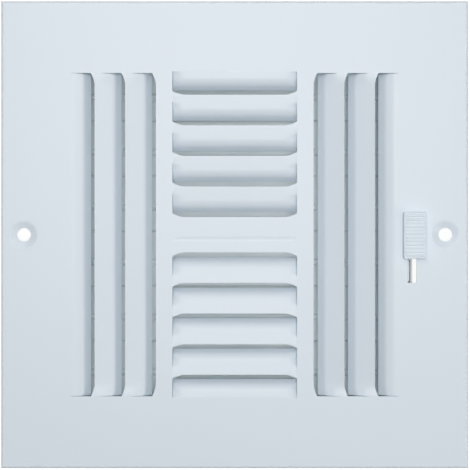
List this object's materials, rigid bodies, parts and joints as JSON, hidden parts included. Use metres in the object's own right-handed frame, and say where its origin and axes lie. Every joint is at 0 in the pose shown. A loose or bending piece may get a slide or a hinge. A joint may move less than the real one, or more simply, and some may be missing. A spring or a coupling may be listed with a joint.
{
  "type": "four-way ceiling air register",
  "caption": "Square stamped-face ceiling register with curved louvres in four directions and a multi-shutter damper worked by a ridged thumb tab in a slot.",
  "frame": {"origin": "middle of the plane where the rim meets the ceiling", "axes": "+Z out of the face into the room, which is down when it is in a ceiling; +X along the damper blades towards the thumb tab; +Y across them"},
  "size_m": [0.197, 0.197, 0.039],
  "materials": {
    "white_paint": "satin white enamel",
    "damper_paint": "satin white enamel",
    "zinc_plate": "zinc plated",
    "white_plastic": "moulded, ridged"
  },
  "bodies": {
    "housing": {"face_plate": "white_paint", "frame_side_left": "damper_paint", "frame_side_right": "damper_paint", "frame_end_upper": "damper_paint", "frame_end_lower": "damper_paint", "corner_rivets": "zinc_plate"},
    "blade_3": {"damper_blade_3": "damper_paint"},
    "blade_1": {"damper_blade_1": "damper_paint"},
    "blade_2": {"damper_blade_2": "damper_paint"},
    "blade_4": {"damper_blade_4": "damper_paint"},
    "blade_5": {"damper_blade_5": "damper_paint"},
    "blade_6": {"damper_blade_6": "damper_paint"},
    "link": {"link_bar": "zinc_plate", "crank_rivets": "zinc_plate", "lever": "zinc_plate", "thumb_tab": "white_plastic"}
  },
  "joints": [
    {"name": "damper_swing", "type": "hinge", "parent": "housing", "child": "blade_3", "pos_m": [0, 0.012, -0.01457], "axis": [1, 0, 0], "range_deg": [0, 80]},
    {"name": "blade_1_pivot", "type": "hinge", "parent": "housing", "child": "blade_1", "pos_m": [0, 0.06, -0.01457], "axis": [1, 0, 0], "range_deg": [0, 80]},
    {"name": "blade_2_pivot", "type": "hinge", "parent": "housing", "child": "blade_2", "pos_m": [0, 0.036, -0.01457], "axis": [1, 0, 0], "range_deg": [0, 80]},
    {"name": "blade_4_pivot", "type": "hinge", "parent": "housing", "child": "blade_4", "pos_m": [0, -0.012, -0.01457], "axis": [1, 0, 0], "range_deg": [0, 80]},
    {"name": "blade_5_pivot", "type": "hinge", "parent": "housing", "child": "blade_5", "pos_m": [0, -0.036, -0.01457], "axis": [1, 0, 0], "range_deg": [0, 80]},
    {"name": "blade_6_pivot", "type": "hinge", "parent": "housing", "child": "blade_6", "pos_m": [0, -0.06, -0.01457], "axis": [1, 0, 0], "range_deg": [0, 80]},
    {"name": "link_pivot", "type": "hinge", "parent": "blade_3", "child": "link", "pos_m": [0.0724, 0.01663, -0.00905], "axis": [1, 0, 0], "range_deg": [-80, 0]}
  ],
  "couplings": [
    {"joint": "blade_1_pivot", "follows": "damper_swing", "ratio": 1},
    {"joint": "blade_2_pivot", "follows": "damper_swing", "ratio": 1},
    {"joint": "blade_4_pivot", "follows": "damper_swing", "ratio": 1},
    {"joint": "blade_5_pivot", "follows": "damper_swing", "ratio": 1},
    {"joint": "blade_6_pivot", "follows": "damper_swing", "ratio": 1},
    {"joint": "link_pivot", "follows": "damper_swing", "ratio": -1}
  ]
}
